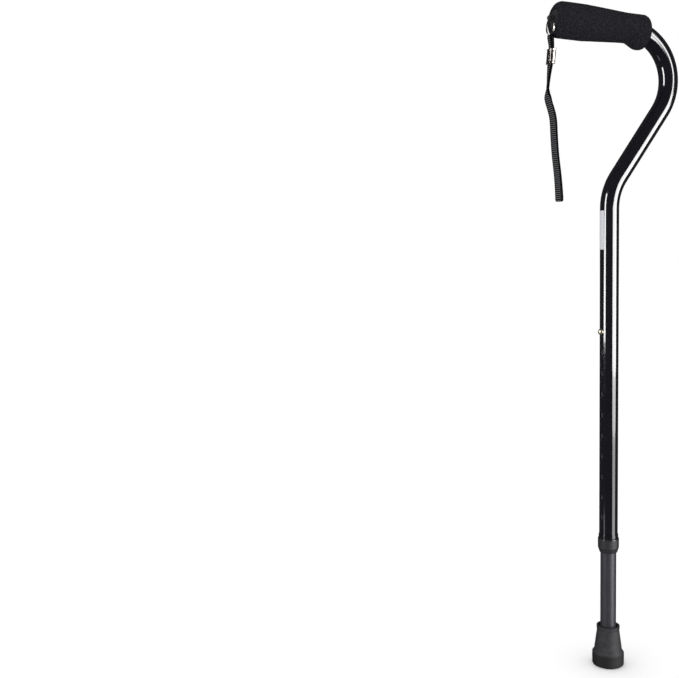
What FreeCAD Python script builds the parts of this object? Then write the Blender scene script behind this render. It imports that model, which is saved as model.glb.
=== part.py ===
import FreeCAD, Part
import math
import os
import Sketcher
from FreeCAD import Matrix, Placement, Rotation, Vector

# Adjustable walking cane with an offset handle. Millimetres. The origin is the centre of the rubber
# tip's underside, +Z runs up the shaft, the grip's free end points to -X, and Y = 0 is the cane's plane.

SIZES = {
    # handle tube: 7/8 in tube with 1.2 mm wall
    "upper_radius": 11.1,
    "upper_bore": 9.9,
    "upper_end_z": 164.0,
    "kink_start_z": 564.2,
    "kink_bend": 63.5,
    "lean_angle": 35.2,
    "lean_run": 93.2,
    "crook_bend": 60.9,
    "grip_rise": 5.0,
    "grip_run": 90.0,
    # adjusting holes: one inch apart
    "hole_count": 10,
    "hole_pitch": 25.4,
    "top_hole_z": 417.0,
    "hole_radius": 4.3,
    # lower tube: 3/4 in tube with 1.2 mm wall
    "lower_radius": 9.525,
    "lower_bore": 8.325,
    "lower_end_z": 9.5,
    "lower_top_z": 444.5,
    # foam sleeve, measured along the grip from the end of the crook
    "foam_end": 93.4,
    "foam_radius": 20.6,
    "foam_end_round": 8.0,
    "foam_belly": 56.0,
    "foam_neck": 4.0,
    "foam_neck_radius": 17.2,
    "foam_bend": 60.0,
    "foam_back": -24.8,
    "stop_radius": 20.0,
    "stop_drop": 3.3,
    "stop_crest": -14.0,
    "stop_front": 0.0,
    "stop_front_radius": 13.5,
    "stop_round": 6.3,
    "foam_play": 0.05,
    "foam_bore_turn": 35.0,
    # end plug and its eye, measured along the grip as the foam is
    "plug_face_radius": 11.0,
    "plug_face_end": 92.4,
    "plug_shank": 9.8,
    "plug_inner_end": 74.0,
    "eye_reach": 7.2,
    "eye_lift": 1.0,
    "eye_radius": 3.4,
    "eye_hole": 1.95,
    "eye_thick": 3.0,
    # split ring
    "ring_radius": 10.0,
    "ring_wire": 1.1,
    "ring_width": 1.7,
    "ring_round": 0.5,
    "ring_play": 0.5,
    # wrist strap and ferrule
    "strap_width": 8.0,
    "strap_thick": 1.5,
    "strap_half_gap": 2.0,
    "strap_clear": 0.5,
    "strap_seam": 0.3,
    "ferrule_width": 12.4,
    "ferrule_round": 2.8,
    "ferrule_depth": 7.6,
    "ferrule_wall": 0.6,
    "ferrule_top_z": 747.5,
    "ferrule_height": 16.8,
    # sticker
    "label_low_z": 515.6,
    "label_height": 46.0,
    "label_angle": 53.5,
    "label_thick": 0.2,
    "label_play": 0.02,
    # locking bushing
    "rim_radius": 11.7,
    "rim_top_z": 166.6,
    "rim_low_z": 163.0,
    "rim_bore": 11.13,
    "collet_radius": 10.8,
    "collet_bore": 9.6,
    "collet_cone_z": 152.0,
    "collet_end_radius": 10.3,
    "collet_end_z": 147.6,
    "slit_width": 1.2,
    "slit_top_z": 157.0,
    "slit_count": 4,
    # locking nut
    "nut_radius": 12.6,
    "nut_top_z": 162.2,
    "nut_waist_z": 150.0,
    "nut_foot_z": 144.0,
    "nut_foot_radius": 10.7,
    "nut_bore": 11.0,
    "nut_cone_z": 152.2,
    "nut_cone_radius": 10.55,
    "nut_throat": 9.75,
    "nut_throat_z": 147.0,
    "nut_round": 1.4,
    # snap button
    "button_radius": 4.2,
    "button_stand": 3.2,
    "leaf_thick": 0.6,
    "leaf_width": 6.4,
    "leaf_offset": 7.15,
    "leaf_flare": 0.2,
    "leaf_rise": 11.0,
    "leaf_turn": 6.7,
    "leaf_drop": 47.0,
    "leaf_short": 15.0,
    "leaf_fold_half": 3.6,
    # rubber tip
    "tip_base_radius": 19.2,
    "tip_base_z": 15.4,
    "tip_shoulder_radius": 16.9,
    "tip_shoulder_z": 18.6,
    "tip_cone_radius": 13.4,
    "tip_cone_z": 45.0,
    "tip_lip_radius": 13.9,
    "tip_lip_z": 45.8,
    "tip_top_z": 49.6,
    "tip_lip_bore": 11.4,
    "tip_lip_floor_z": 44.0,
    "tip_socket": 9.55,
    "tip_socket_floor_z": 8.0,
    "tip_edge_round": 2.2,
    "tread_depth": 1.3,
    "tread_inner": 6.5,
    "tread_width": 2.2,
    "tread_step": 5.2,
    "tread_count": 2,
    "washer_radius": 9.3,
    "washer_thick": 1.5,
}

# Centre line of the hanging strap, half-way between its two layers: x and z of each turn.
STRAP_LINE = [
    (-75.8, 728.0),
    (-78.6, 710.0),
    (-79.7, 699.5),
    (-76.3, 687.0),
    (-72.4, 667.5),
    (-71.3, 648.0),
    (-69.9, 627.0),
    (-66.6, 603.0),
    (-65.2, 576.0),
]

POCKET_REACH = 1.4  # length of a pocket, in radii of the tube it goes into
CUT_PAST = 1.0  # how far a cutting shape runs past the piece it cuts
BEND_SHARE = 0.45  # share of the shorter straight run beside a corner that its arc takes up
SAME_PLACE = 1e-4
LEAST_CUT = 1e-6

doc = FreeCAD.newDocument("cane")


def fill_sheet():
    sheet = doc.addObject("Spreadsheet::Sheet", "dims")
    for row, (alias, value) in enumerate(SIZES.items(), start=1):
        sheet.set(f"A{row}", alias)
        sheet.set(f"B{row}", str(value))
        sheet.setAlias(f"B{row}", alias)
    doc.recompute()
    return sheet


dims = fill_sheet()


def size(alias):
    return float(dims.get(alias))


# ---- the cane's plane: where the bent tube runs ----

LEAN = math.radians(size("lean_angle"))
RISE = math.radians(size("grip_rise"))
KINK_CENTRE = Vector(size("kink_bend"), 0, size("kink_start_z"))
LEAN_START = KINK_CENTRE + Vector(-math.cos(LEAN), 0, math.sin(LEAN)) * size("kink_bend")
LEAN_END = LEAN_START + Vector(math.sin(LEAN), 0, math.cos(LEAN)) * size("lean_run")
CROOK_CENTRE = LEAN_END + Vector(-math.cos(LEAN), 0, math.sin(LEAN)) * size("crook_bend")
GRIP_START = CROOK_CENTRE + Vector(math.sin(RISE), 0, math.cos(RISE)) * size("crook_bend")
GRIP_WAY = Vector(-math.cos(RISE), 0, math.sin(RISE))
GRIP_UP = Vector(math.sin(RISE), 0, math.cos(RISE))
GRIP_END = GRIP_START + GRIP_WAY * size("grip_run")
SQUARE = Vector(0, 1, 0)

# The grip's own frame: z along the grip to its free end, x up, y across.
GRIP_FRAME = Placement(
    Matrix(
        GRIP_UP.x, SQUARE.x, GRIP_WAY.x, GRIP_START.x,
        GRIP_UP.y, SQUARE.y, GRIP_WAY.y, GRIP_START.y,
        GRIP_UP.z, SQUARE.z, GRIP_WAY.z, GRIP_START.z,
        0, 0, 0, 1,
    )
)


# ---- small helpers ----


def new_body(label):
    body = doc.addObject("PartDesign::Body", label)
    body.Label = label
    return body


def origin_feature(body, role):
    return next(f for f in body.Origin.OriginFeatures if f.Role == role)


def new_sketch(body, name, role, lift=None):
    """A sketch on one of the body's own planes. lift is a cell that moves it along the plane's normal."""
    sketch = body.newObject("Sketcher::SketchObject", name)
    sketch.AttachmentSupport = [(origin_feature(body, role), "")]
    sketch.MapMode = "FlatFace"
    if lift:
        sketch.setExpression("AttachmentOffset.Base.z", lift)
    return sketch


def bind(sketch, kind, places, value, text):
    """A dimension of the sketch, bound to an expression of the sheet's cells."""
    number = sketch.addConstraint(Sketcher.Constraint(kind, *places, value))
    sketch.setExpression(f"Constraints[{number}]", text)


def outline(sketch, corners):
    """A closed outline of straight edges. Each corner is a pair of cells, or None for the axis."""
    at = [Vector(*(size(c) if c else 0.0 for c in corner), 0) for corner in corners]
    count = len(at)
    for i in range(count):
        sketch.addGeometry(Part.LineSegment(at[i], at[(i + 1) % count]), False)
    for i in range(count):
        sketch.addConstraint(Sketcher.Constraint("Coincident", i, 2, (i + 1) % count, 1))
    for i, (across, along) in enumerate(corners):
        if across:
            bind(sketch, "DistanceX", (-1, 1, i, 1), at[i].x, f"dims.{across}")
        else:
            sketch.addConstraint(Sketcher.Constraint("PointOnObject", i, 1, -2))
        if along:
            bind(sketch, "DistanceY", (-1, 1, i, 1), at[i].y, f"dims.{along}")
        else:
            sketch.addConstraint(Sketcher.Constraint("PointOnObject", i, 1, -1))


def circle(sketch, radius, along=None):
    """A circle centred on the sketch's origin, or on its vertical axis at a cell's height."""
    centre = Vector(0, size(along) if along else 0.0, 0)
    number = sketch.addGeometry(Part.Circle(centre, Vector(0, 0, 1), size(radius)), False)
    bind(sketch, "Radius", (number,), size(radius), f"dims.{radius}")
    sketch.addConstraint(Sketcher.Constraint("PointOnObject", number, 3, -2))
    if along:
        bind(sketch, "DistanceY", (-1, 1, number, 3), centre.y, f"dims.{along}")
    else:
        sketch.addConstraint(Sketcher.Constraint("PointOnObject", number, 3, -1))


def rectangle(sketch, left, low, width, height, texts):
    """A rectangle. texts bind its right side, width, low side (None: on the horizontal axis) and height."""
    right, high = left + width, low + height
    corners = [(left, low), (right, low), (right, high), (left, high)]
    for i in range(4):
        a, b = corners[i], corners[(i + 1) % 4]
        sketch.addGeometry(Part.LineSegment(Vector(*a, 0), Vector(*b, 0)), False)
    for i, kind in enumerate(("Horizontal", "Vertical", "Horizontal", "Vertical")):
        sketch.addConstraint(Sketcher.Constraint("Coincident", i, 2, (i + 1) % 4, 1))
        sketch.addConstraint(Sketcher.Constraint(kind, i))
    right_text, width_text, low_text, height_text = texts
    bind(sketch, "DistanceX", (-1, 1, 1, 1), right, right_text)
    bind(sketch, "DistanceX", (0, 1, 0, 2), width, width_text)
    if low_text:
        bind(sketch, "DistanceY", (-1, 1, 0, 1), low, low_text)
    else:
        sketch.addConstraint(Sketcher.Constraint("PointOnObject", 0, 1, -1))
    bind(sketch, "DistanceY", (1, 1, 1, 2), height, height_text)


def revolve(body, sketch, kind="PartDesign::Revolution"):
    """Turn a sketch once about its own vertical axis."""
    turned = body.newObject(kind, f"{body.Label}_{kind.rpartition('::')[2]}_{len(body.Group)}")
    turned.Profile = sketch
    turned.ReferenceAxis = (sketch, ["V_Axis"])
    turned.Angle = 360
    return turned


def pocket_one_side(body, sketch, length):
    cut = body.newObject("PartDesign::Pocket", f"{body.Label}_pocket")
    cut.Profile = sketch
    cut.Type = "Length"
    cut.setExpression("Length", length)
    return cut


def check_cut(before, after):
    if not after < before - LEAST_CUT:
        raise RuntimeError("a cut took nothing away")


def round_edges(body, rings, radius):
    """Fillet the circular edges that lie at the given (radius, height) places."""
    doc.recompute()
    base = body.Tip
    names = []
    for number, edge in enumerate(base.Shape.Edges, start=1):
        if not isinstance(edge.Curve, Part.Circle):
            continue
        for ring_radius, height in rings:
            off = max(abs(edge.Curve.Radius - ring_radius), abs(edge.Curve.Center.z - height))
            if off < SAME_PLACE:
                names.append(f"Edge{number}")
    fillet = body.newObject("PartDesign::Fillet", f"{body.Label}_round_{len(body.Group)}")
    fillet.Base = (base, names)
    fillet.setExpression("Radius", radius)
    body.Tip = fillet


def tangent_arc(before, corner, after, reach):
    """The arc that rounds a corner, starting and ending at reach from it. Returns start, arc, end."""
    back = (before - corner).normalize()
    ahead = (after - corner).normalize()
    half = back.getAngle(ahead) / 2
    radius = reach * math.tan(half)
    start = corner + back * reach
    end = corner + ahead * reach
    middle = corner + (back + ahead).normalize() * (radius / math.sin(half) - radius)
    return start, Part.Arc(start, middle, end).toShape(), end, radius


# the corners of a flat section, as signs of its half thickness and its half width
MOUTH_CORNERS = ((1, 1), (1, -1), (-1, -1), (-1, 1), (1, 1))


def run_between(start, end):
    return Part.LineSegment(start, end).toShape()


def tangent_run(points):
    """Straight runs joined by the largest even arcs, from the first point to the last."""
    edges = []
    radii = []
    last = points[0]
    for before, corner, after in zip(points, points[1:], points[2:]):
        reach = BEND_SHARE * min((corner - before).Length, (after - corner).Length)
        start, arc, end, radius = tangent_arc(before, corner, after, reach)
        edges += [run_between(last, start), arc]
        radii.append(round(radius, 1))
        last = end
    edges.append(run_between(last, points[-1]))
    return edges, radii


def rounded_face(corners, radii):
    """A flat face with straight edges, its corners rounded by the given radii (0 is sharp)."""
    edges = []
    count = len(corners)
    start = (corners[-1] + corners[0]) * 0.5
    last = start
    for i, (corner, radius) in enumerate(zip(corners, radii)):
        before = corners[i - 1]
        after = corners[(i + 1) % count]
        if radius:
            half = (before - corner).getAngle(after - corner) / 2
            first, arc, then, _ = tangent_arc(before, corner, after, radius / math.tan(half))
            edges += [run_between(last, first), arc]
            last = then
        else:
            edges.append(run_between(last, corner))
            last = corner
    edges.append(run_between(last, start))
    return Part.Face(Part.Wire(edges))


def shaped(label, shape, placement=None):
    """A sub-part whose shape is worked out from the sheet's cells."""
    feature = doc.addObject("Part::Feature", label)
    feature.Label = label
    feature.Shape = shape
    if placement:
        feature.Placement = placement
    return feature


# ---- handle ----


def make_upper_tube():
    body = new_body("upper_tube")
    path = new_sketch(body, "tube_path", "XZ_Plane")
    flat = [
        Vector(p.x, p.z, 0)
        for p in (
            Vector(0, 0, size("upper_end_z")),
            Vector(0, 0, size("kink_start_z")),
            LEAN_START,
            LEAN_END,
            GRIP_START,
            GRIP_END,
        )
    ]
    kink = Vector(KINK_CENTRE.x, KINK_CENTRE.z, 0)
    crook = Vector(CROOK_CENTRE.x, CROOK_CENTRE.z, 0)
    up = Vector(0, 0, 1)
    half_pi = math.pi / 2
    shaft = path.addGeometry(Part.LineSegment(flat[0], flat[1]), False)
    kink_circle = Part.Circle(kink, up, size("kink_bend"))
    first = path.addGeometry(Part.ArcOfCircle(kink_circle, math.pi - LEAN, math.pi), False)
    lean = path.addGeometry(Part.LineSegment(flat[2], flat[3]), False)
    crook_circle = Part.Circle(crook, up, size("crook_bend"))
    second = path.addGeometry(Part.ArcOfCircle(crook_circle, -LEAN, half_pi - RISE), False)
    grip = path.addGeometry(Part.LineSegment(flat[4], flat[5]), False)
    path.addConstraint(Sketcher.Constraint("PointOnObject", shaft, 1, -2))
    path.addConstraint(Sketcher.Constraint("Vertical", shaft))
    for joined in ((shaft, 2, first, 2), (first, 1, lean, 1), (lean, 2, second, 1), (second, 2, grip, 1)):
        path.addConstraint(Sketcher.Constraint("Tangent", *joined))
    bind(path, "DistanceY", (-1, 1, shaft, 1), flat[0].y, "dims.upper_end_z")
    bind(path, "DistanceY", (-1, 1, shaft, 2), flat[1].y, "dims.kink_start_z")
    bind(path, "Radius", (first,), size("kink_bend"), "dims.kink_bend")
    bind(path, "Radius", (second,), size("crook_bend"), "dims.crook_bend")
    bind(path, "Distance", (lean,), size("lean_run"), "dims.lean_run")
    bind(path, "Distance", (grip,), size("grip_run"), "dims.grip_run")
    bind(path, "Angle", (lean,), half_pi - LEAN, "(90 - dims.lean_angle) * 1 deg")
    bind(path, "Angle", (grip,), math.pi - RISE, "(180 - dims.grip_rise) * 1 deg")

    ring = new_sketch(body, "tube_section", "XY_Plane", lift="dims.upper_end_z")
    circle(ring, "upper_radius")
    circle(ring, "upper_bore")
    doc.recompute()
    pipe = body.newObject("PartDesign::AdditivePipe", "tube_pipe")
    pipe.Profile = ring
    pipe.Spine = (path, [f"Edge{i}" for i in range(1, 6)])
    doc.recompute()
    whole = pipe.Shape.Volume

    hole = new_sketch(body, "hole_section", "YZ_Plane")
    circle(hole, "hole_radius", along="top_hole_z")
    cut = pocket_one_side(body, hole, f"dims.upper_radius * {POCKET_REACH}")
    doc.recompute()
    row = body.newObject("PartDesign::LinearPattern", "hole_row")
    row.Originals = [cut]
    row.Direction = (hole, ["V_Axis"])
    row.Reversed = True
    row.setExpression("Length", "(dims.hole_count - 1) * dims.hole_pitch")
    row.setExpression("Occurrences", "dims.hole_count")
    body.Tip = row
    doc.recompute()
    check_cut(whole, cut.Shape.Volume)
    check_cut(cut.Shape.Volume, row.Shape.Volume)
    return body


def make_foam_grip():
    def ringed(corners, radii, drop=0.0):
        at = [Vector(across - drop, 0, along) for across, along in corners]
        return rounded_face(at, radii).revolve(Vector(-drop, 0, 0), Vector(0, 0, 1), 360)

    back = size("foam_back")
    neck = size("foam_neck_radius")
    sleeve = ringed(
        [
            (0, back),
            (neck, back),
            (neck, size("foam_neck")),
            (size("foam_radius"), size("foam_belly")),
            (size("foam_radius"), size("foam_end")),
            (0, size("foam_end")),
        ],
        [0, size("stop_round"), size("foam_bend"), size("foam_bend"), size("foam_end_round"), 0],
    )
    stop = ringed(
        [
            (0, back),
            (size("stop_radius"), back),
            (size("stop_radius"), size("stop_crest")),
            (size("stop_front_radius"), size("stop_front")),
            (0, size("stop_front")),
        ],
        [0, size("stop_round"), size("stop_round"), 0, 0],
        drop=size("stop_drop"),
    )
    bend = size("crook_bend")
    past = math.radians(size("foam_bore_turn"))
    corners = [
        Vector(0, 0, size("foam_end") + CUT_PAST),
        Vector(0, 0, 0),
        Vector(bend * (math.cos(past / 2) - 1), 0, -bend * math.sin(past / 2)),
        Vector(bend * (math.cos(past) - 1), 0, -bend * math.sin(past)),
    ]
    route = Part.Wire([run_between(corners[0], corners[1]), Part.Arc(*corners[1:]).toShape()])
    bore_radius = size("upper_radius") + size("foam_play")
    mouth = Part.Wire(Part.makeCircle(bore_radius, corners[0], Vector(0, 0, 1)))
    bore = route.makePipeShell([mouth], True, False)
    whole = sleeve.fuse(stop).removeSplitter()
    foam = whole.cut(bore)
    check_cut(whole.Volume, foam.Volume)
    return shaped("foam_grip", foam.Solids[0], GRIP_FRAME)


def make_end_plug():
    body = new_body("end_plug")
    plug = new_sketch(body, "plug_section", "XZ_Plane")
    outline(
        plug,
        [
            (None, "plug_inner_end"),
            ("plug_shank", "plug_inner_end"),
            ("plug_shank", "grip_run"),
            ("plug_face_radius", "grip_run"),
            ("plug_face_radius", "plug_face_end"),
            (None, "plug_face_end"),
        ],
    )
    body.Tip = revolve(body, plug)

    stem = new_sketch(body, "eye_stem", "XZ_Plane")
    reach_z = size("grip_run") + size("eye_reach")
    lift = size("eye_lift")
    radius = size("eye_radius")
    low, high = lift - radius, lift + radius
    for a, b in (
        ((low, size("grip_run")), (high, size("grip_run"))),
        ((high, size("grip_run")), (high, reach_z)),
    ):
        stem.addGeometry(Part.LineSegment(Vector(*a, 0), Vector(*b, 0)), False)
    end_circle = Part.Circle(Vector(lift, reach_z, 0), Vector(0, 0, 1), radius)
    stem.addGeometry(Part.ArcOfCircle(end_circle, 0, math.pi), False)
    stem.addGeometry(
        Part.LineSegment(Vector(low, reach_z, 0), Vector(low, size("grip_run"), 0)), False
    )
    for joined in ((0, 2, 1, 1), (3, 2, 0, 1)):
        stem.addConstraint(Sketcher.Constraint("Coincident", *joined))
    for joined in ((1, 2, 2, 1), (2, 2, 3, 1)):
        stem.addConstraint(Sketcher.Constraint("Tangent", *joined))
    stem.addConstraint(Sketcher.Constraint("Horizontal", 0))
    stem.addConstraint(Sketcher.Constraint("Vertical", 1))
    bind(stem, "Radius", (2,), radius, "dims.eye_radius")
    bind(stem, "DistanceX", (-1, 1, 2, 3), lift, "dims.eye_lift")
    bind(stem, "DistanceY", (-1, 1, 2, 3), reach_z, "dims.grip_run + dims.eye_reach")
    bind(stem, "DistanceY", (-1, 1, 0, 1), size("grip_run"), "dims.grip_run")
    hole = stem.addGeometry(Part.Circle(Vector(lift, reach_z, 0), Vector(0, 0, 1), size("eye_hole")), False)
    stem.addConstraint(Sketcher.Constraint("Coincident", hole, 3, 2, 3))
    bind(stem, "Radius", (hole,), size("eye_hole"), "dims.eye_hole")
    pad = body.newObject("PartDesign::Pad", "eye_pad")
    pad.Profile = stem
    pad.Midplane = True
    pad.setExpression("Length", "dims.eye_thick")
    body.Tip = pad
    body.Placement = GRIP_FRAME
    return body


def make_blank_label():
    radius = "dims.upper_radius + dims.label_play"
    outer = doc.addObject("Part::Cylinder", "label_outer")
    outer.setExpression("Radius", f"{radius} + dims.label_thick")
    inner = doc.addObject("Part::Cylinder", "label_inner")
    inner.setExpression("Radius", radius)
    for piece in (outer, inner):
        piece.setExpression("Height", "dims.label_height")
        piece.setExpression("Angle", "dims.label_angle")
        piece.setExpression("Placement.Base.z", "dims.label_low_z")
        piece.Placement.Rotation = Rotation(Vector(0, 0, 1), 180 - size("label_angle") / 2)
    label = doc.addObject("Part::Cut", "blank_label")
    label.Label = "blank_label"
    label.Base = outer
    label.Tool = inner
    return label


def make_collet_bushing():
    body = new_body("collet_bushing")
    section = new_sketch(body, "bushing_section", "XZ_Plane")
    outline(
        section,
        [
            ("rim_bore", "rim_top_z"),
            ("rim_bore", "upper_end_z"),
            ("collet_bore", "upper_end_z"),
            ("collet_bore", "collet_end_z"),
            ("collet_end_radius", "collet_end_z"),
            ("collet_radius", "collet_cone_z"),
            ("collet_radius", "rim_low_z"),
            ("rim_radius", "rim_low_z"),
            ("rim_radius", "rim_top_z"),
        ],
    )
    body.Tip = revolve(body, section)
    doc.recompute()
    whole = body.Tip.Shape.Volume
    slit = new_sketch(body, "slit_section", "XZ_Plane")
    width = size("slit_width")
    low = size("collet_end_z") - CUT_PAST
    texts = (
        "dims.slit_width / 2",
        "dims.slit_width",
        f"dims.collet_end_z - {CUT_PAST}",
        f"dims.slit_top_z - dims.collet_end_z + {CUT_PAST}",
    )
    rectangle(slit, -width / 2, low, width, size("slit_top_z") - low, texts)
    cut = pocket_one_side(body, slit, f"dims.rim_radius * {POCKET_REACH}")
    doc.recompute()
    check_cut(whole, cut.Shape.Volume)
    ring = body.newObject("PartDesign::PolarPattern", "slit_ring")
    ring.Originals = [cut]
    ring.Axis = (origin_feature(body, "Z_Axis"), [""])
    ring.Angle = 360
    ring.setExpression("Occurrences", "dims.slit_count")
    body.Tip = ring
    doc.recompute()
    check_cut(cut.Shape.Volume, ring.Shape.Volume)
    return body


def make_lock_nut():
    body = new_body("lock_nut")
    section = new_sketch(body, "nut_section", "XZ_Plane")
    outline(
        section,
        [
            ("nut_bore", "nut_top_z"),
            ("nut_bore", "nut_cone_z"),
            ("nut_cone_radius", "nut_throat_z"),
            ("nut_throat", "nut_throat_z"),
            ("nut_throat", "nut_foot_z"),
            ("nut_foot_radius", "nut_foot_z"),
            ("nut_radius", "nut_waist_z"),
            ("nut_radius", "nut_top_z"),
        ],
    )
    body.Tip = revolve(body, section)
    edges = [(size("nut_radius"), size("nut_top_z")), (size("nut_radius"), size("nut_waist_z"))]
    round_edges(body, edges, "dims.nut_round")
    return body


# ---- leg ----


def make_lower_tube():
    body = new_body("lower_tube")
    ring = new_sketch(body, "leg_section", "XY_Plane", lift="dims.lower_end_z")
    circle(ring, "lower_radius")
    circle(ring, "lower_bore")
    pad = body.newObject("PartDesign::Pad", "leg_pad")
    pad.Profile = ring
    pad.setExpression("Length", "dims.lower_top_z - dims.lower_end_z")
    doc.recompute()
    whole = pad.Shape.Volume
    hole = new_sketch(body, "button_hole", "YZ_Plane")
    circle(hole, "hole_radius", along="top_hole_z")
    cut = pocket_one_side(body, hole, f"dims.lower_radius * {POCKET_REACH}")
    body.Tip = cut
    doc.recompute()
    check_cut(whole, cut.Shape.Volume)
    return body


def make_rubber_tip():
    body = new_body("rubber_tip")
    section = new_sketch(body, "tip_section", "XZ_Plane")
    outline(
        section,
        [
            (None, None),
            ("tip_base_radius", None),
            ("tip_base_radius", "tip_base_z"),
            ("tip_shoulder_radius", "tip_shoulder_z"),
            ("tip_cone_radius", "tip_cone_z"),
            ("tip_lip_radius", "tip_lip_z"),
            ("tip_lip_radius", "tip_top_z"),
            ("tip_lip_bore", "tip_top_z"),
            ("tip_lip_bore", "tip_lip_floor_z"),
            ("tip_socket", "tip_lip_floor_z"),
            ("tip_socket", "tip_socket_floor_z"),
            (None, "tip_socket_floor_z"),
        ],
    )
    body.Tip = revolve(body, section)
    doc.recompute()
    whole = body.Tip.Shape.Volume
    for i in range(int(size("tread_count"))):
        ring = new_sketch(body, f"tread_{i}", "XZ_Plane")
        inner = size("tread_inner") + i * size("tread_step")
        width = size("tread_width")
        right_text = f"dims.tread_inner + {i} * dims.tread_step + dims.tread_width"
        texts = (right_text, "dims.tread_width", None, "dims.tread_depth")
        rectangle(ring, inner, 0, width, size("tread_depth"), texts)
        body.Tip = revolve(body, ring, "PartDesign::Groove")
        doc.recompute()
        check_cut(whole, body.Tip.Shape.Volume)
        whole = body.Tip.Shape.Volume
    round_edges(body, [(size("tip_base_radius"), 0.0)], "dims.tip_edge_round")
    return body


def make_tip_washer():
    washer = doc.addObject("Part::Cylinder", "tip_washer")
    washer.Label = "tip_washer"
    washer.setExpression("Radius", "dims.washer_radius")
    washer.setExpression("Height", "dims.washer_thick")
    washer.setExpression("Placement.Base.z", "dims.tip_socket_floor_z")
    return washer


def make_snap_button():
    offset = size("leaf_offset")
    fold = size("leaf_fold_half")
    middle = size("top_hole_z")
    fold_z = middle - size("leaf_drop")
    corners = [
        Vector(-offset + size("leaf_flare"), 0, middle + size("leaf_rise")),
        Vector(-offset, 0, middle - size("leaf_turn")),
        Vector(-fold, 0, fold_z),
        Vector(fold, 0, fold_z),
        Vector(offset, 0, middle - size("leaf_short")),
    ]
    edges, _ = tangent_run(corners)
    route = Part.Wire(edges)
    way = (corners[1] - corners[0]).normalize()
    side = Vector(0, 1, 0)
    face_way = side.cross(way)
    half_thick = face_way * (size("leaf_thick") / 2)
    half_wide = side * (size("leaf_width") / 2)
    mouth = Part.makePolygon([corners[0] + half_thick * a + half_wide * b for a, b in MOUTH_CORNERS])
    leaf = route.makePipeShell([mouth], True, False)

    radius = size("button_radius")
    round_x = -(size("upper_radius") + size("button_stand") - radius)
    foot_x = -offset
    stem = Part.makeCylinder(radius, foot_x - round_x, Vector(foot_x, 0, middle), Vector(-1, 0, 0))
    dome = Part.makeSphere(radius, Vector(round_x, 0, middle), Vector(-1, 0, 0), 0, 90, 360)
    button = leaf.fuse([stem, dome]).removeSplitter()
    return shaped("snap_button", button.Solids[0])


# ---- ring and strap ----

EYE_CENTRE = GRIP_FRAME.multVec(Vector(size("eye_lift"), 0, size("grip_run") + size("eye_reach")))
RING_TOP_WIRE = EYE_CENTRE - Vector(0, 0, size("eye_hole") - size("ring_wire") / 2 - size("ring_play"))
RING_CENTRE = RING_TOP_WIRE - Vector(0, 0, size("ring_radius") - size("ring_wire") / 2)
RING_LOW_WIRE = RING_CENTRE - Vector(0, 0, size("ring_radius") - size("ring_wire") / 2)


def make_split_ring():
    outer = size("ring_radius")
    inner = outer - size("ring_wire")
    half = size("ring_width") / 2
    corners = [Vector(x, 0, z) for x, z in ((inner, -half), (outer, -half), (outer, half), (inner, half))]
    section = rounded_face(corners, [size("ring_round")] * 4)
    ring = section.revolve(Vector(0, 0, 0), Vector(0, 0, 1), 360)
    return shaped("split_ring", ring, Placement(RING_CENTRE, Rotation(Vector(0, 1, 0), 90)))


def beside(line, offset):
    """A line's points moved sideways, in the cane's plane, by offset."""
    moved = []
    for i, point in enumerate(line):
        along = line[min(i + 1, len(line) - 1)] - line[max(i - 1, 0)]
        across = Vector(along.z, 0, -along.x).normalize()
        moved.append(point + across * offset)
    return moved


def make_wrist_strap():
    """One length of webbing folded over the ring and at the bottom, its two ends meeting in the ferrule."""
    fold = RING_LOW_WIRE + Vector(0, 0, size("strap_clear"))
    line = [fold] + [Vector(x, 0, z) for x, z in STRAP_LINE]
    gap = size("strap_half_gap")
    left = beside(line, gap)
    right = beside(line, -gap)
    first_way = (line[0] - line[1]).normalize()
    last_way = (line[-1] - line[-2]).normalize()
    seam_z = size("ferrule_top_z") - size("ferrule_height") / 2
    down = (left[1] - left[0]).normalize()
    first_end = left[0] + down * ((left[0].z - seam_z) / -down.z)
    last_end = first_end + down * size("strap_seam")
    right_edges, right_radii = tangent_run(right)
    left_edges, left_radii = tangent_run(left[:0:-1] + [last_end])
    over_ring = Part.Arc(left[0], line[0] + first_way * gap, right[0]).toShape()
    bottom = Part.Arc(right[-1], line[-1] + last_way * gap, left[-1]).toShape()
    run_up = run_between(first_end, left[0])
    route = Part.Wire([run_up, over_ring] + right_edges + [bottom] + left_edges)
    width = size("strap_width")
    across = Vector(down.z, 0, -down.x) * (size("strap_thick") / 2)
    side = Vector(0, width / 2, 0)
    mouth = Part.makePolygon([first_end + across * a + side * b for a, b in MOUTH_CORNERS])
    web = route.makePipeShell([mouth], True, False)
    share = web.Volume / (route.Length * width * size("strap_thick"))
    print("strap turns, mm:", right_radii, left_radii)
    print("strap length, mm:", round(route.Length, 1), "volume share:", round(share, 4))
    return shaped("wrist_strap", web)


def make_strap_ferrule():
    half_x = size("ferrule_depth") / 2
    half_y = size("ferrule_width") / 2
    wall = size("ferrule_wall")
    rounding = size("ferrule_round")
    centre = RING_LOW_WIRE.x
    low = size("ferrule_top_z") - size("ferrule_height")

    def bar(shrink):
        x, y = half_x - shrink, half_y - shrink
        corners = [Vector(centre + a * x, b * y, low) for a, b in ((-1, -1), (1, -1), (1, 1), (-1, 1))]
        face = rounded_face(corners, [rounding - shrink] * 4)
        return face.extrude(Vector(0, 0, size("ferrule_height")))

    return shaped("strap_ferrule", bar(0).cut(bar(wall)))


PARTS = [
    make_foam_grip(),
    make_upper_tube(),
    make_end_plug(),
    make_blank_label(),
    make_collet_bushing(),
    make_lock_nut(),
    make_lower_tube(),
    make_rubber_tip(),
    make_tip_washer(),
    make_snap_button(),
    make_split_ring(),
    make_wrist_strap(),
    make_strap_ferrule(),
]
doc.recompute()

for thing in doc.Objects:
    if "Invalid" in thing.State or "Error" in thing.State:
        raise RuntimeError(f"{thing.Label} did not build: {thing.State}")

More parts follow.
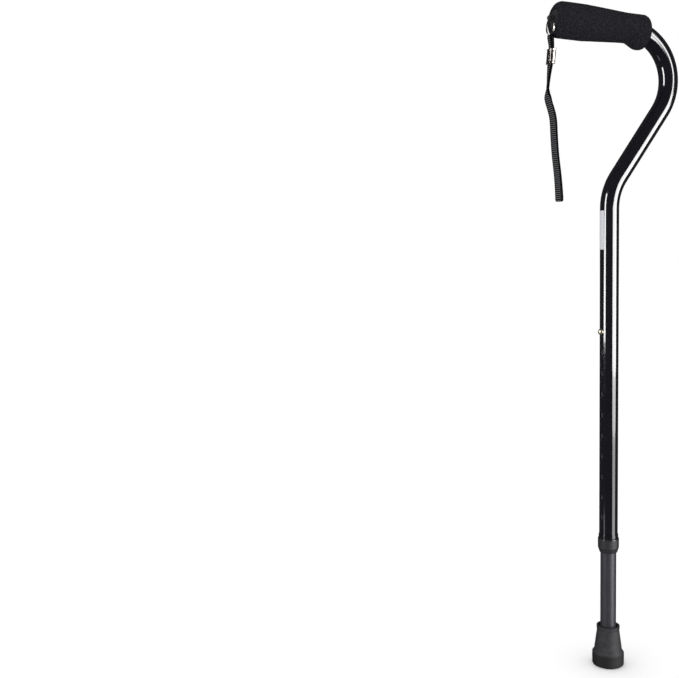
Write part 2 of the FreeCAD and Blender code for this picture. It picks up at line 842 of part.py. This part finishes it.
os.makedirs("parts", exist_ok=True)
for part in PARTS:
    shape = part.Shape
    if shape.isNull() or not shape.isValid() or len(shape.Solids) != 1:
        raise RuntimeError(f"{part.Label} is not one valid solid: {len(shape.Solids)} solids")
    shape.exportStep(f"parts/{part.Label}.step")
    print(f"{part.Label}: {shape.Volume:.1f} mm3")
print("hinges, mm: ring", RING_TOP_WIRE, "strap", RING_LOW_WIRE)
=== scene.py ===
import math

import bpy
import numpy as np
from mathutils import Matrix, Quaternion, Vector, noise


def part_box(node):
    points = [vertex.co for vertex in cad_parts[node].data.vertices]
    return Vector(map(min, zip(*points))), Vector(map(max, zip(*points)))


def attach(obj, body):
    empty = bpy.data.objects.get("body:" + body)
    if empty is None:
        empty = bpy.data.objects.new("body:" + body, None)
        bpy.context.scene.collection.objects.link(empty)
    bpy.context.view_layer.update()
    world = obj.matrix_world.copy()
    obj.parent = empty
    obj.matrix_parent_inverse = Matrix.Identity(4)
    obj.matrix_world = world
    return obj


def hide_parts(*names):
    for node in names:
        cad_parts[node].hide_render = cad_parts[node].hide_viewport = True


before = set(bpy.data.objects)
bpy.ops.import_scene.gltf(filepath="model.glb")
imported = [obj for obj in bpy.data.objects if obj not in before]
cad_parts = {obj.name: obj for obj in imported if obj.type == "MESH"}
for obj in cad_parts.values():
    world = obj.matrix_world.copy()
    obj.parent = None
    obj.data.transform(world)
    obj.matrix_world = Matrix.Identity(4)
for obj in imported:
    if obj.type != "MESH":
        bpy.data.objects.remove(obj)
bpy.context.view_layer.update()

# The strap's middle line, half-way between its two layers, from the ring down to the fold: x, z, the turn
# of the webbing's width from the X axis towards Y in degrees, and the distance between the layers' middles.
STRAP_LINE = [
    (-0.0757, 0.7632, 90, 0.0042),
    (-0.0752, 0.7580, 90, 0.0038),
    (-0.0742, 0.7490, 90, 0.0022),
    (-0.0750, 0.7392, 90, 0.0020),
    (-0.0763, 0.7285, 97, 0.0018),
    (-0.0776, 0.7190, 84, 0.0017),
    (-0.0785, 0.7090, 73, 0.0016),
    (-0.0793, 0.7025, 71, 0.0017),
    (-0.0795, 0.6970, 96, 0.0019),
    (-0.0790, 0.6920, 132, 0.0023),
    (-0.0779, 0.6870, 144, 0.0029),
    (-0.0757, 0.6810, 138, 0.0029),
    (-0.0722, 0.6690, 133, 0.0029),
    (-0.0714, 0.6490, 133, 0.0029),
    (-0.0699, 0.6270, 134, 0.0029),
    (-0.0667, 0.6030, 135, 0.0034),
    (-0.0650, 0.5800, 132, 0.0050),
    (-0.0650, 0.5738, 132, 0.0050),
]
# The row of STRAP_LINE where the webbing's two ends meet, inside the ferrule.
STRAP_ENDS_ROW = 3
STRAP_ENDS_GAP = 0.0003
STRAP_WIDTH = 0.008
STRAP_THICK = 0.0015


# ---------------------------------------------------------------- materials


class Nodes:
    """Adds shader nodes to a tree."""

    def __init__(self, tree):
        self.tree = tree

    def add(self, kind, inputs, output, **settings):
        """A new node's output. Each of its inputs is a plain value or another node's output."""
        node = self.tree.nodes.new("ShaderNode" + kind)
        for name, value in settings.items():
            setattr(node, name, value)
        for socket, value in inputs.items():
            if isinstance(value, bpy.types.NodeSocket):
                self.tree.links.new(value, node.inputs[socket])
            else:
                node.inputs[socket].default_value = value
        return node.outputs[output]

    def times(self, value, by):
        return self.add("Math", {0: value, 1: by}, "Value", operation="MULTIPLY")

    def times_plus(self, value, by, plus):
        return self.add("Math", {0: value, 1: by, 2: plus}, "Value", operation="MULTIPLY_ADD")


class Skin(Nodes):
    """A procedural material: one Principled shader, textured in the object's own coordinates, in metres."""

    NOISE_LOW, NOISE_HIGH = 0.3, 0.7

    def __init__(self, name, **sockets):
        """Each keyword sets one of the shader's own sockets, with _ for the spaces in its name."""
        self.material = bpy.data.materials.new(name)
        self.material.use_nodes = True
        super().__init__(self.material.node_tree)
        self.shader = self.tree.nodes["Principled BSDF"]
        self.place = self.add("TexCoord", {}, "Object")
        for socket, value in sockets.items():
            self.shader.inputs[socket.replace("_", " ")].default_value = value

    def noise(self, scale, detail=2.0, stretch=(1, 1, 1)):
        """Soft noise of about scale lumps to the metre."""
        place = self.add("Mapping", {"Vector": self.place, "Scale": stretch}, "Vector")
        return self.add("TexNoise", {"Vector": place, "Scale": scale, "Detail": detail}, "Fac")

    def cells(self, scale):
        """The distance from the middle of the nearest of about scale cells to the metre."""
        return self.add("TexVoronoi", {"Vector": self.place, "Scale": scale}, "Distance")

    def height(self):
        """The point's z in the rest pose, in metres."""
        return self.add("SeparateXYZ", {"Vector": self.place}, "Z")

    def attribute(self, name):
        """A number that the mesh holds at each of its points."""
        return self.add("Attribute", {}, "Fac", attribute_name=name)

    def spread(self, factor, low, high, to_low=0.0, to_high=1.0):
        """factor between low and high becomes to_low to to_high."""
        limits = {"Value": factor, "From Min": low, "From Max": high, "To Min": to_low, "To Max": to_high}
        return self.add("MapRange", limits, "Result")

    def uneven(self, factor, low, high):
        """low to high over the range that holds most of a noise's values."""
        return self.spread(factor, self.NOISE_LOW, self.NOISE_HIGH, low, high)

    def blend(self, factor, dark, pale):
        """The colour dark where factor is 0, pale where it is 1. Either may be a node's output."""
        node = self.tree.nodes.new("ShaderNodeMix")
        node.data_type = "RGBA"
        self.tree.links.new(factor, node.inputs["Factor"])
        for socket, value in (("A", dark), ("B", pale)):
            slot = [s for s in node.inputs if s.name == socket and s.type == "RGBA"][0]
            if isinstance(value, bpy.types.NodeSocket):
                self.tree.links.new(value, slot)
            else:
                slot.default_value = (*value, 1.0)
        return [s for s in node.outputs if s.type == "RGBA"][0]

    def colour(self, value):
        self.tree.links.new(value, self.shader.inputs["Base Color"])

    def roughness(self, value):
        self.tree.links.new(value, self.shader.inputs["Roughness"])

    def bump(self, height, distance, strength):
        """Small relief: distance is its depth in metres."""
        inputs = {"Height": height, "Distance": distance, "Strength": strength}
        self.tree.links.new(self.add("Bump", inputs, "Normal"), self.shader.inputs["Normal"])


def foam_skin():
    """Charcoal foam rubber: fine open cells with paler specks on them."""
    skin = Skin("foam", Specular_IOR_Level=0.06)
    grain = skin.noise(scale=1500, detail=3.0)
    pores = skin.cells(scale=1100)
    tone = skin.spread(grain, low=0.35, high=0.65)
    body = skin.blend(tone, dark=(0.0035, 0.0035, 0.005), pale=(0.0125, 0.0125, 0.0165))
    pale_grain = skin.spread(grain, low=0.52, high=0.72)
    specks = skin.times(pale_grain, skin.spread(pores, low=0.25, high=0.6))
    skin.colour(skin.blend(specks, dark=body, pale=(0.065, 0.065, 0.080)))
    skin.roughness(skin.uneven(grain, low=0.8, high=0.97))
    skin.bump(pores, distance=0.0004, strength=0.7)
    return skin.material


def enamel_skin():
    """Gloss black baked enamel with a trace of orange peel."""
    skin = Skin("enamel", Coat_Weight=0.6, Coat_Roughness=0.03, IOR=1.5)
    tint = skin.noise(scale=40, detail=3.0)
    skin.colour(skin.blend(tint, dark=(0.0036, 0.0036, 0.0056), pale=(0.0077, 0.0077, 0.0115)))
    skin.roughness(skin.uneven(skin.noise(scale=90, detail=4.0), low=0.07, high=0.13))
    skin.bump(skin.noise(scale=380, detail=1.0), distance=0.00001, strength=0.2)
    return skin.material


def satin_skin():
    """Dark satin anodised tube with faint drawing lines along its length."""
    skin = Skin("satin", Metallic=0.35, IOR=1.5)
    lines = skin.noise(scale=1600, stretch=(1, 1, 0.02))
    skin.colour(skin.blend(lines, dark=(0.029, 0.028, 0.035), pale=(0.062, 0.061, 0.073)))
    skin.roughness(skin.uneven(lines, low=0.36, high=0.5))
    skin.bump(lines, distance=0.00003, strength=0.4)
    return skin.material


def plug_skin():
    """Moulded black plastic with a fine spark-eroded texture."""
    skin = Skin("plug_plastic", IOR=1.46)
    grain = skin.noise(scale=1900)
    tint = skin.noise(scale=120, detail=3.0)
    skin.colour(skin.blend(tint, dark=(0.020, 0.020, 0.022), pale=(0.034, 0.034, 0.037)))
    skin.roughness(skin.uneven(grain, low=0.3, high=0.45))
    skin.bump(grain, distance=0.00006, strength=0.4)
    return skin.material


def gloss_plastic_skin():
    """Shiny black moulded plastic, next to the enamel and nearly as glossy."""
    skin = Skin("gloss_plastic", IOR=1.5, Coat_Weight=0.5, Coat_Roughness=0.05)
    tint = skin.noise(scale=120, detail=3.0)
    skin.colour(skin.blend(tint, dark=(0.004, 0.004, 0.005), pale=(0.009, 0.009, 0.010)))
    skin.roughness(skin.uneven(skin.noise(scale=300, detail=3.0), low=0.10, high=0.18))
    skin.bump(skin.noise(scale=900, detail=1.0), distance=0.00002, strength=0.3)
    return skin.material


def nut_skin():
    """Dull moulded plastic with a shiny rounded top edge."""
    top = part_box("lock_nut")[1].z
    dull_below, shiny_above, shiny_part = top - 0.0022, top - 0.0014, 0.14
    skin = Skin("nut_plastic", IOR=1.46)
    grain = skin.noise(scale=1900)
    tint = skin.noise(scale=120, detail=3.0)
    skin.colour(skin.blend(tint, dark=(0.0122, 0.0119, 0.0155), pale=(0.0225, 0.0220, 0.0280)))
    shine = skin.spread(skin.height(), dull_below, shiny_above, to_low=1.0, to_high=shiny_part)
    skin.roughness(skin.times(skin.uneven(grain, low=0.48, high=0.60), shine))
    skin.bump(grain, distance=0.00004, strength=0.4)
    return skin.material


def rubber_skin():
    """Dull black rubber, a little dusty where it is uneven, darker round the foot."""
    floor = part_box("rubber_tip")[0].z
    dark_below, pale_above = floor + 0.0145, floor + 0.0175
    skin = Skin("rubber", Specular_IOR_Level=0.38)
    dust = skin.spread(skin.noise(scale=160, detail=5.0), low=0.45, high=0.75)
    grain = skin.noise(scale=1300, detail=3.0)
    body = skin.blend(grain, dark=(0.0120, 0.0116, 0.0150), pale=(0.0255, 0.0248, 0.0310))
    dusted = skin.blend(dust, dark=body, pale=(0.0340, 0.0332, 0.0405))
    above_foot = skin.spread(skin.height(), dark_below, pale_above)
    skin.colour(skin.blend(above_foot, dark=(0.0085, 0.0085, 0.010), pale=dusted))
    skin.roughness(skin.uneven(grain, low=0.55, high=0.76))
    skin.bump(grain, distance=0.00012, strength=0.5)
    return skin.material


def paper_skin():
    """A blank white sticker, faintly mottled."""
    skin = Skin("paper", Coat_Weight=0.15, Coat_Roughness=0.2)
    mottle = skin.noise(scale=260, detail=5.0)
    skin.colour(skin.blend(mottle, dark=(0.465, 0.472, 0.515), pale=(0.605, 0.612, 0.660)))
    skin.roughness(skin.uneven(skin.noise(scale=900), low=0.4, high=0.55))
    return skin.material


def metal_skin(name, dark, pale, smooth, rough):
    """Bare or plated metal with small changes of tone and polish, from smooth to rough."""
    skin = Skin(name, Metallic=1.0)
    wear = skin.noise(scale=220, detail=4.0)
    skin.colour(skin.blend(wear, dark, pale))
    skin.roughness(skin.uneven(wear, smooth, rough))
    skin.bump(skin.noise(scale=1100), distance=0.00001, strength=0.3)
    return skin.material


def washer_skin():
    """Plain dull steel."""
    return metal_skin("washer_steel", (0.42, 0.43, 0.44), (0.60, 0.61, 0.62), smooth=0.25, rough=0.4)


def button_skin():
    """Pale yellow plating on the snap button and its leaf."""
    return metal_skin("plated_brass", (0.86, 0.76, 0.52), (0.97, 0.91, 0.74), smooth=0.26, rough=0.40)


def webbing_skin():
    """Black nylon webbing, with a painted highlight on its raised threads and painted shade between them."""
    skin = Skin("webbing", Specular_IOR_Level=0.03)
    fibres = skin.noise(scale=5200)
    # The raised threads are painted paler as a highlight on their crests, and the rest is painted near black
    # as shade.
    painted_crest_highlight = skin.blend(fibres, dark=(0.095, 0.097, 0.104), pale=(0.27, 0.276, 0.29))
    painted_light_mask = skin.spread(skin.attribute("raised"), low=0.55, high=0.85)
    skin.colour(skin.blend(painted_light_mask, dark=(0.0008, 0.0008, 0.001), pale=painted_crest_highlight))
    skin.roughness(skin.uneven(fibres, low=0.38, high=0.6))
    skin.bump(fibres, distance=0.00005, strength=0.5)
    return skin.material


# ---------------------------------------------------------------- meshes


def new_piece(name, points, faces, material):
    """A smooth-shaded mesh object."""
    mesh = bpy.data.meshes.new(name)
    mesh.from_pydata([tuple(p) for p in points], [], faces)
    mesh.shade_smooth()
    mesh.materials.append(material)
    piece = bpy.data.objects.new(name, mesh)
    bpy.context.scene.collection.objects.link(piece)
    return piece


def bar(name, sections, material):
    """A solid bar with capped ends: sections is an array of rows of points, each row once round the bar."""
    rows, around = sections.shape[:2]
    faces = []
    for here in range(0, (rows - 1) * around, around):
        there = here + around
        for point in range(around):
            after = (point + 1) % around
            faces.append((here + point, here + after, there + after, there + point))
    faces.append(tuple(range(around - 1, -1, -1)))
    faces.append(tuple(range((rows - 1) * around, rows * around)))
    return new_piece(name, sections.reshape(-1, 3), faces, material)


def rounded_corners(half_wide, half_tall, rounding, count):
    """(core, way) pairs in order round a rectangle with rounded corners, count to each corner: each point of
    its edge is core + way * rounding, where core is the corner's centre and way points outwards."""
    pairs = []
    for side, end, first in ((-1, -1, 180), (1, -1, 270), (1, 1, 0), (-1, 1, 90)):
        core = np.array([side * (half_wide - rounding), end * (half_tall - rounding)])
        for angle in np.radians(np.linspace(first, first + 90, count)):
            pairs.append((core, np.array([math.cos(angle), math.sin(angle)])))
    return pairs


def unit(vectors):
    """The same directions at length 1."""
    return vectors / np.linalg.norm(vectors, axis=-1, keepdims=True)


def smooth_step(x):
    """0 below 0, 1 above 1, and a smooth rise between."""
    x = np.clip(x, 0, 1)
    return x * x * (3 - 2 * x)


# ---------------------------------------------------------------- wrist strap


def strap_route():
    """Control points of the strap: up from the ferrule, over the ring, down, round the low fold and up."""

    def layer(row, side):
        x, z, turn, gap = row
        turn = math.radians(turn)
        reach = side * gap / 2
        return (x + reach * math.sin(turn), -reach * math.cos(turn), z)

    up = [layer(row, -1) for row in STRAP_LINE[STRAP_ENDS_ROW::-1]]
    down = [layer(row, 1) for row in STRAP_LINE]
    back = [layer(row, -1) for row in STRAP_LINE[:STRAP_ENDS_ROW:-1]]
    end = Vector(up[0]) - Vector((0, 0, STRAP_ENDS_GAP))
    return up + down + back + [tuple(end)]


def route_line(points, step):
    """Points about step apart along the NURBS line that has points as its control points."""
    curve = bpy.data.curves.new("route", "CURVE")
    curve.dimensions = "3D"
    curve.resolution_u = 24
    spline = curve.splines.new("NURBS")
    spline.points.add(len(points) - 1)
    for knot, place in zip(spline.points, points):
        knot.co = (*place, 1.0)
    spline.order_u = 3
    spline.use_endpoint_u = True
    holder = bpy.data.objects.new("route", curve)
    mesh = bpy.data.meshes.new_from_object(holder)
    line = np.array([v.co for v in mesh.vertices], float)
    bpy.data.objects.remove(holder)
    along = np.concatenate([[0], np.cumsum(np.linalg.norm(np.diff(line, axis=0), axis=1))])
    at = np.linspace(0, along[-1], round(along[-1] / step) + 1)
    return np.stack([np.interp(at, along, column) for column in line.T], axis=1)


def strap_turn(height):
    """The turn of the webbing's width at that height, in radians."""
    heights, turns = zip(*sorted((z, turn) for _, z, turn, _ in STRAP_LINE))
    return np.radians(np.interp(height, heights, turns))


def webbing_section(face_points, edge_points):
    """(across, out, face) of the points round a flat strap's section, from -1 to 1 of its half width and
    half thickness. face is 1 on its front, -1 on its back and 0 on its rounded edges."""
    flat = 0.90
    front = [(x, 1.0, 1) for x in np.linspace(-flat, flat, face_points)]
    back = [(x, -1.0, -1) for x in np.linspace(flat, -flat, face_points)]
    bend = [math.pi / 2 - math.pi * (i + 1) / (edge_points + 1) for i in range(edge_points)]
    right = [(flat + (1 - flat) * math.cos(turn), math.sin(turn), 0) for turn in bend]
    left = [(-x, -out, 0) for x, out, _ in right]
    return np.array(front + right + back + left)


def weave(section, along):
    """How raised each point of each row is, 0 to 1: straight ribs of short warp floats across the face, and
    slanted threads on the edges."""
    threads, woven_part = 7, 0.76
    rib_pitch, rib_start = 0.00238, 0.5
    half_float_wide, half_float_long = 0.47, 0.30
    edge_pitch, edge_slant, edge_raised = 0.0012, 2.2, 0.4
    across, out, face = section.T[:, None, :]
    rib = along[:, None] / rib_pitch + rib_start
    column = (across / woven_part + 1) / 2 * threads
    inside = (column > 0) & (column < threads)
    beside = np.abs(column - np.floor(column) - 0.5) / half_float_wide
    ahead = np.abs(rib - np.floor(rib) - 0.5) / half_float_long
    floats = np.sqrt(inside * np.clip(1 - beside**2, 0, 1) * np.clip(1 - ahead**2, 0, 1))
    slanted = 0.5 + 0.5 * np.sin(2 * np.pi * along[:, None] / edge_pitch + edge_slant * out)
    return np.where(face == 0, slanted * edge_raised, floats)


def make_strap(ferrule):
    step, thread_height = 0.0003, 0.00024
    line = route_line(strap_route(), step)
    way = unit(np.gradient(line, axis=0))
    turn = strap_turn(line[:, 2])
    width = np.stack([np.cos(turn), np.sin(turn), np.zeros_like(turn)], axis=1)
    width = unit(width - (width * way).sum(1, keepdims=True) * way)
    normal = np.cross(way, width)
    section = webbing_section(face_points=43, edge_points=3)
    raised = weave(section, np.arange(len(line)) * step)
    swell = raised * thread_height
    across, out, face = section.T[:, None, :]
    across = across * STRAP_WIDTH / 2 + np.where(face == 0, np.sign(across) * swell, 0)
    lift = out * (STRAP_THICK / 2 - thread_height) + face * swell
    points = line[:, None] + across[..., None] * width[:, None] + lift[..., None] * normal[:, None]
    strap = bar("strap_webbing", points, webbing_skin())
    layer = strap.data.attributes.new("raised", "FLOAT", "POINT")
    layer.data.foreach_set("value", raised.astype(np.float32).ravel())
    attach(strap, "strap")
    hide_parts("wrist_strap")


# ---------------------------------------------------------------- ferrule, ring and grip


def subdivided(outline, step):
    """The outline's (core, way) pairs, with more pairs between any two whose cores lie far apart."""
    dense = [outline[0]]
    for (core, way), (next_core, next_way) in zip(outline, outline[1:]):
        count = max(1, math.ceil(np.linalg.norm(next_core - core) / step))
        for part in np.arange(1, count + 1) / count:
            dense.append((core + (next_core - core) * part, unit(way + (next_way - way) * part)))
    return dense


def make_ferrule():
    """A strip of thin metal rolled round both layers of the webbing, its two edges butting at a seam. It
    follows the strap's lean, and flares a little at its top and bottom."""
    half_x, half_y, rounding, wall, lip_rise = 0.0037, 0.0061, 0.0027, 0.0006, 0.00021
    seam_y, half_seam, lean = -0.0022, 0.00013, 0.096
    flutes, flute_depth = 11, 0.00004
    flare_reach, flared_part = 0.00028, 0.2
    low, high = (corner.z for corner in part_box("strap_ferrule"))
    middle_x = STRAP_LINE[STRAP_ENDS_ROW][0]
    seam_way = np.array([-1.0, 0.0])
    start, end = (np.array([rounding - half_x, seam_y + gap]) for gap in (-half_seam, half_seam))
    corners = rounded_corners(half_x, half_y, rounding, count=15)
    outline = subdivided([(start, seam_way), *corners, (end, seam_way)], step=0.0004)
    levels = np.linspace(0, 1, 25)
    height = low + (high - low) * levels
    from_middle = np.abs(levels - 0.5) * 2
    flare = flare_reach * np.clip(from_middle - (1 - flared_part), 0, 1) / flared_part
    rows = []
    for core, way in outline:
        x, y = core + way * rounding
        reach = rounding + flare + flute_depth * math.sin(flutes * math.atan2(y, x))
        outside = core + way * reach[:, None]
        inside = core + way * (reach - wall)[:, None]
        lip = core + way * (reach[0] - wall / 2)
        around = [(*place, z) for place, z in zip(outside, height)]
        around.append((*lip, high + lip_rise))
        around += [(*place, z) for place, z in zip(inside[::-1], height[::-1])]
        around.append((*lip, low - lip_rise))
        rows.append(around)
    points = np.array(rows)
    points[..., 0] += middle_x + lean * (points[..., 2] - (low + high) / 2)
    dark, pale = (0.24, 0.215, 0.20), (0.36, 0.33, 0.31)
    skin = metal_skin("bright_steel", dark, pale, smooth=0.14, rough=0.24)
    ferrule = bar("ferrule_rolled", points, skin)
    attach(ferrule, "strap")
    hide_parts("strap_ferrule")
    return ferrule


def make_ring():
    """Two coils of flattened wire side by side, with a step where one passes into the other."""
    half_thick, half_wide, rounding = 0.00055, 0.00041, 0.00026
    wire_start, wire_end, step_start, step_turn = np.radians((-34, 630, 273, 50))
    low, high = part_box("split_ring")
    centre = np.array((low + high) / 2)
    radius = (high.y - low.y) / 2 - half_thick
    coil_shift = (high.x - low.x) / 2 - half_wide
    angle = np.linspace(wire_start, wire_end, 420)[:, None]
    shift = coil_shift * (2 * smooth_step((angle - step_start) / step_turn) - 1)
    corners = rounded_corners(half_thick, half_wide, rounding, count=4)
    thick, wide = np.array([core + way * rounding for core, way in corners]).T
    reach = radius + thick
    points = np.stack([shift + wide, reach * np.cos(angle), reach * np.sin(angle)], axis=2)
    dark, pale = (0.30, 0.288, 0.270), (0.48, 0.460, 0.430)
    skin = metal_skin("nickel", dark, pale, smooth=0.18, rough=0.28)
    ring = bar("ring_coils", centre + points, skin)
    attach(ring, "ring")
    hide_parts("split_ring")


def make_grip():
    """The foam sleeve: the solid sleeve's surface in small even cells, softened, and a little uneven."""
    cell, softness, soft_passes = 0.0009, 0.5, 6
    # The waviness of its surface: lumps to the metre, and how far they rise.
    waves = ((90, 0.00016), (420, 0.00007))
    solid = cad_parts["foam_grip"]
    sleeve = bpy.data.objects.new("grip_cells", solid.data.copy())
    sleeve.matrix_world = solid.matrix_world.copy()
    bpy.context.scene.collection.objects.link(sleeve)
    cells = sleeve.modifiers.new("cells", "REMESH")
    cells.mode = "VOXEL"
    cells.voxel_size = cell
    soft = sleeve.modifiers.new("soft", "SMOOTH")
    soft.factor = softness
    soft.iterations = soft_passes
    bpy.context.view_layer.update()
    shaped = sleeve.evaluated_get(bpy.context.evaluated_depsgraph_get())
    mesh = bpy.data.meshes.new_from_object(shaped)
    mesh.transform(solid.matrix_world)
    bpy.data.objects.remove(sleeve)
    normals = [vertex.normal.copy() for vertex in mesh.vertices]
    for vertex, normal in zip(mesh.vertices, normals):
        place = vertex.co.copy()
        vertex.co = place + normal * sum(noise.noise(place * scale) * rise for scale, rise in waves)
    mesh.materials.clear()
    mesh.materials.append(foam_skin())
    mesh.shade_smooth()
    grip = bpy.data.objects.new("foam_sleeve", mesh)
    bpy.context.scene.collection.objects.link(grip)
    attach(grip, "handle")
    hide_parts("foam_grip")


make_strap(make_ferrule())
make_ring()
make_grip()


# ---------------------------------------------------------------- CAD nodes


def paint(node, material):
    """Gives a CAD node its material, in place of the plain one that it came with."""
    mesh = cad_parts[node].data
    mesh.materials.clear()
    mesh.materials.append(material)


paint("upper_tube", enamel_skin())
paint("lower_tube", satin_skin())
paint("end_plug", plug_skin())
paint("collet_bushing", gloss_plastic_skin())
paint("lock_nut", nut_skin())
paint("rubber_tip", rubber_skin())
paint("blank_label", paper_skin())
paint("tip_washer", washer_skin())
paint("snap_button", button_skin())


# ---------------------------------------------------------------- studio

# Upright rectangular lamps that face the shaft: azimuth in degrees, distance from the shaft, height of the
# lower and upper edges, width, and radiance. These show only in glossy surfaces, as highlights, and some
# reach below the floor, which doesn't show in reflections and so doesn't hide them.
GLOSS_LAMPS = {
    "gloss_top": (36, 1.6, 1.45, 1.90, 0.90, 9.0),
    "gloss_high": (36, 1.6, 0.80, 1.45, 0.40, 14.0),
    "gloss_bend": (37, 1.6, 0.62, 0.80, 0.95, 14.0),
    "gloss_right": (37.5, 1.6, 0.12, 0.62, 1.49, 14.0),
    "gloss_mid": (37.5, 1.6, -0.05, 0.12, 1.30, 8.0),
    "gloss_low": (37.5, 1.6, -0.90, -0.05, 1.10, 4.2),
    "gloss_left": (-82, 1.4, 0.24, 1.13, 0.38, 16.0),
    "gloss_left_low": (-82, 1.4, -0.65, -0.21, 0.40, 1.3),
}
# This one lights the dull surfaces, and doesn't show in the glossy ones.
KEY_LAMP = (-60, 2.4, 0.10, 1.40, 2.0, 0.9)


def look(thing, back, roll=0.0):
    """Turns a camera or lamp so that it looks the opposite way to back, rolled about that direction."""
    thing.rotation_mode = "QUATERNION"
    thing.rotation_quaternion = Quaternion(back, roll) @ (-back).to_track_quat("-Z", "Y")


def heading(azimuth, elevation):
    turn, tilt = math.radians(azimuth), math.radians(elevation)
    return Vector((math.sin(turn) * math.cos(tilt), -math.cos(turn) * math.cos(tilt), math.sin(tilt)))


def make_camera():
    """The camera stands in front of the cane and to its left, and looks past it, so that the cane is at the
    right of the view."""
    camera = bpy.data.objects.new("camera", bpy.data.cameras.new("camera"))
    bpy.context.scene.collection.objects.link(camera)
    camera.data.lens = 53.02
    camera.location = (-0.6014, -1.0848, 0.5507)
    look(camera, heading(azimuth=-13.82, elevation=6.396), roll=math.radians(-1.532))
    bpy.context.scene.camera = camera


def make_lamp(name, spec, in_gloss):
    """A lamp that shows only in glossy surfaces with in_gloss, and otherwise lights only the dull ones."""
    azimuth, distance, low, high, width, radiance = spec
    lamp = bpy.data.lights.new(name, "AREA")
    lamp.shape = "RECTANGLE"
    lamp.size = width
    lamp.size_y = high - low
    lamp.energy = radiance * math.pi * width * (high - low)
    holder = bpy.data.objects.new(name, lamp)
    bpy.context.scene.collection.objects.link(holder)
    towards = heading(azimuth, 0)
    holder.location = towards * distance + Vector((0, 0, (low + high) / 2))
    look(holder, towards)
    holder.visible_camera = False
    holder.visible_glossy = in_gloss
    holder.visible_diffuse = not in_gloss


def make_floor():
    """A wide pale floor, a hair under the rubber tip."""
    half, drop = 9.0, 0.0004
    skin = Skin("floor", Specular_IOR_Level=0.0, Roughness=0.9)
    skin.colour(skin.blend(skin.noise(scale=3), dark=(0.945, 0.945, 0.948), pale=(0.96, 0.96, 0.962)))
    corners = [(x * half, y * half, -drop) for x, y in ((-1, -1), (1, -1), (1, 1), (-1, 1))]
    floor = new_piece("floor", corners, [(0, 1, 2, 3)], skin.material)
    floor.visible_glossy = False


def make_world():
    """White behind the object, a little brighter as a light, and nearly black in reflections."""
    less_in_gloss, more_as_light = -0.95, 0.08
    world = bpy.data.worlds.new("studio")
    world.use_nodes = True
    bpy.context.scene.world = world
    nodes = Nodes(world.node_tree)
    background = nodes.tree.nodes["Background"]
    background.inputs["Color"].default_value = (1.0, 1.0, 1.0, 1.0)
    gloss_ray = nodes.add("LightPath", {}, "Is Glossy Ray")
    light_ray = nodes.add("LightPath", {}, "Is Diffuse Ray")
    strength = nodes.times_plus(gloss_ray, less_in_gloss, 1.0)
    strength = nodes.times_plus(light_ray, more_as_light, strength)
    nodes.tree.links.new(strength, background.inputs["Strength"])


make_camera()
for lamp_name, lamp_spec in GLOSS_LAMPS.items():
    make_lamp(lamp_name, lamp_spec, in_gloss=True)
make_lamp("key", KEY_LAMP, in_gloss=False)
make_floor()
make_world()
bpy.context.scene.view_settings.view_transform = "Standard"
